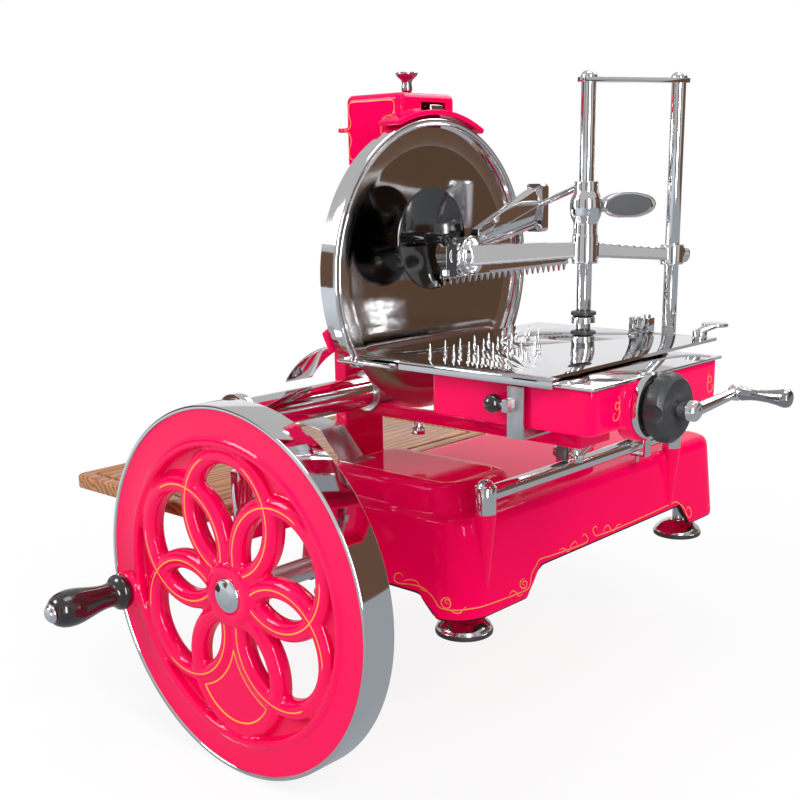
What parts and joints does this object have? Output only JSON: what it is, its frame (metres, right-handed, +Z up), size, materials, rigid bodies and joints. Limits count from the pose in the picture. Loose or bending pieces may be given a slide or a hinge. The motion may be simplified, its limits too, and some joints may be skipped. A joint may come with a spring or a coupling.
{
  "type": "hand crank meat slicer",
  "caption": "Flywheel meat slicer: a crank wheel turns a round blade by chain and gears, and a sliding carriage with a feed screw, dial, clamp and table carries the meat.",
  "frame": {"origin": "on the plane of the four soles, at the centre of the four feet", "axes": "+Z up, +X to the side of the meat table, -Y to the flywheel end"},
  "size_m": [0.9525, 0.9348, 0.8124],
  "materials": {
    "enamel": "glossy magenta-crimson enamel with gold pinstripes",
    "chrome": "polished chrome plate",
    "blade_steel": "ground and polished steel",
    "bright_steel": "turned bright steel",
    "gear_steel": "oiled cut steel",
    "satin_alloy": "satin polished plate",
    "grey_cast": "dark grey casting",
    "knob_black": "gloss black moulding",
    "knob_grey": "dark grey moulding",
    "board_wood": "oiled wood"
  },
  "bodies": {
    "base": {"base_casting": "enamel", "foot_stems": "bright_steel", "foot_bells": "chrome", "front_rod": "chrome", "rod_sockets": "chrome", "guide_bar": "chrome", "bar_end_post": "chrome", "blade_frame": "enamel", "guard_ring": "chrome", "sharpener_box": "enamel", "shaft_flange": "chrome", "drive_chain": "gear_steel", "slice_deflector": "chrome", "drip_plate": "satin_alloy"},
    "board": {"slice_board": "board_wood"},
    "wheel": {"flywheel": "enamel", "hub_cap": "chrome", "flywheel_shaft": "chrome", "shaft_bevel_gear": "gear_steel", "handle_spindle": "chrome"},
    "handle": {"handle_grip": "knob_black", "handle_cap": "chrome"},
    "cross_drive": {"cross_shaft": "bright_steel", "cross_bevel_gear": "gear_steel", "lower_sprocket": "gear_steel"},
    "lay_drive": {"lay_shaft": "bright_steel", "upper_sprocket": "gear_steel", "lay_gear": "gear_steel"},
    "blade_unit": {"blade": "blade_steel", "blade_shaft": "bright_steel", "blade_gear": "gear_steel"},
    "push_knob": {"sharpener_knob": "chrome"},
    "sharpener_arm": {"sharpener_lever": "chrome"},
    "stone": {"sharpening_stone": "grey_cast"},
    "carriage": {"carriage_casting": "enamel", "carriage_shoe": "bright_steel", "carriage_bolts": "chrome", "carriage_bracket": "chrome", "carriage_strut": "grey_cast", "carriage_plate": "chrome", "dial_bezel": "chrome"},
    "roller_front": {"front_roller": "grey_cast"},
    "roller_rear": {"rear_roller": "grey_cast"},
    "table": {"meat_table": "satin_alloy", "table_pins": "chrome", "clamp_columns": "chrome", "column_crossbar": "chrome"},
    "end_block": {"table_block": "chrome"},
    "thumb_catch": {"thumb_lever": "chrome"},
    "screw_crank": {"feed_crank": "chrome", "lead_screw": "bright_steel"},
    "crank_handle": {"crank_grip": "chrome"},
    "dial": {"thickness_dial": "knob_grey"},
    "release": {"release_strap": "chrome", "ball_knob": "knob_black"},
    "clamp": {"clamp_arm": "chrome", "comb": "blade_steel", "clamp_disc": "chrome", "clamp_fin": "chrome"},
    "clamp_grip": {"clamp_lever": "knob_black"}
  },
  "joints": [
    {"name": "flywheel_spin", "type": "hinge", "parent": "base", "child": "wheel", "pos_m": [-0.057, -0.3, 0.0756], "axis": [0, 1, 0], "continuous": true},
    {"name": "handle_spin", "type": "hinge", "parent": "wheel", "child": "handle", "pos_m": [-0.257, -0.54, 0.0376], "axis": [0, 1, 0], "continuous": true},
    {"name": "cross_spin", "type": "hinge", "parent": "base", "child": "cross_drive", "pos_m": [-0.1, -0.19, 0.0756], "axis": [1, 0, 0], "continuous": true},
    {"name": "lay_spin", "type": "hinge", "parent": "base", "child": "lay_drive", "pos_m": [-0.1, -0.19, 0.4058], "axis": [1, 0, 0], "continuous": true},
    {"name": "blade_spin", "type": "hinge", "parent": "base", "child": "blade_unit", "pos_m": [0.05, -0.2586, 0.4407], "axis": [1, 0, 0], "continuous": true},
    {"name": "sharpener_push", "type": "slide", "parent": "base", "child": "push_knob", "axis": [0, 0, 1], "range_m": [-0.006, 0]},
    {"name": "sharpener_shift", "type": "slide", "parent": "base", "child": "sharpener_arm", "axis": [0, 1, 0], "range_m": [-0.014, 0]},
    {"name": "stone_spin", "type": "hinge", "parent": "base", "child": "stone", "pos_m": [0, -0.275, 0.59], "axis": [1, 0, 0], "continuous": true},
    {"name": "carriage_slide", "type": "slide", "parent": "base", "child": "carriage", "axis": [0, 1, 0], "range_m": [-0.132, 0.078]},
    {"name": "front_roller_spin", "type": "hinge", "parent": "carriage", "child": "roller_front", "pos_m": [0.149, -0.111, 0.2063], "axis": [1, 0, 0], "range_deg": [-420, 700]},
    {"name": "rear_roller_spin", "type": "hinge", "parent": "carriage", "child": "roller_rear", "pos_m": [0.149, 0.044, 0.2063], "axis": [1, 0, 0], "range_deg": [-420, 700]},
    {"name": "table_feed", "type": "slide", "parent": "carriage", "child": "table", "axis": [1, 0, 0], "range_m": [-0.008, 0.045]},
    {"name": "crank_turn", "type": "hinge", "parent": "carriage", "child": "screw_crank", "pos_m": [0.437, -0.333, 0.331], "axis": [1, 0, 0], "range_deg": [-290, 1622]},
    {"name": "crank_grip_spin", "type": "hinge", "parent": "screw_crank", "child": "crank_handle", "pos_m": [0.46, -0.263, 0.339], "axis": [1, 0, 0], "continuous": true},
    {"name": "dial_turn", "type": "hinge", "parent": "carriage", "child": "dial", "pos_m": [0.41, -0.333, 0.331], "axis": [1, 0, 0], "range_deg": [0, 300]},
    {"name": "nut_release", "type": "hinge", "parent": "carriage", "child": "release", "pos_m": [0.31, -0.383, 0.3475], "axis": [1, 0, 0], "range_deg": [0, 5]},
    {"name": "block_slide", "type": "slide", "parent": "table", "child": "end_block", "axis": [1, 0, 0], "range_m": [-0.02, 0.012]},
    {"name": "thumb_turn", "type": "hinge", "parent": "table", "child": "thumb_catch", "pos_m": [0.334, -0.122, 0.366], "axis": [0, 0, 1], "range_deg": [-60, 0]},
    {"name": "clamp_lift", "type": "slide", "parent": "table", "child": "clamp", "axis": [0, 0, 1], "range_m": [-0.04, 0.1]},
    {"name": "clamp_squeeze", "type": "hinge", "parent": "clamp", "child": "clamp_grip", "pos_m": [0.24891, -0.20531, 0.513], "axis": [0.9064, -0.4224, 0], "range_deg": [0, 12]},
    {"name": "board_lift", "type": "slide", "parent": "base", "child": "board", "axis": [0, 0, 1], "range_m": [0, 0.05]}
  ],
  "couplings": [
    {"joint": "cross_spin", "follows": "flywheel_spin", "ratio": -1},
    {"joint": "lay_spin", "follows": "flywheel_spin", "ratio": -1},
    {"joint": "blade_spin", "follows": "flywheel_spin", "ratio": 2},
    {"joint": "front_roller_spin", "follows": "carriage_slide", "rad_per_m": -88.496},
    {"joint": "rear_roller_spin", "follows": "carriage_slide", "rad_per_m": -88.496},
    {"joint": "crank_turn", "follows": "table_feed", "rad_per_m": 628.32}
  ]
}
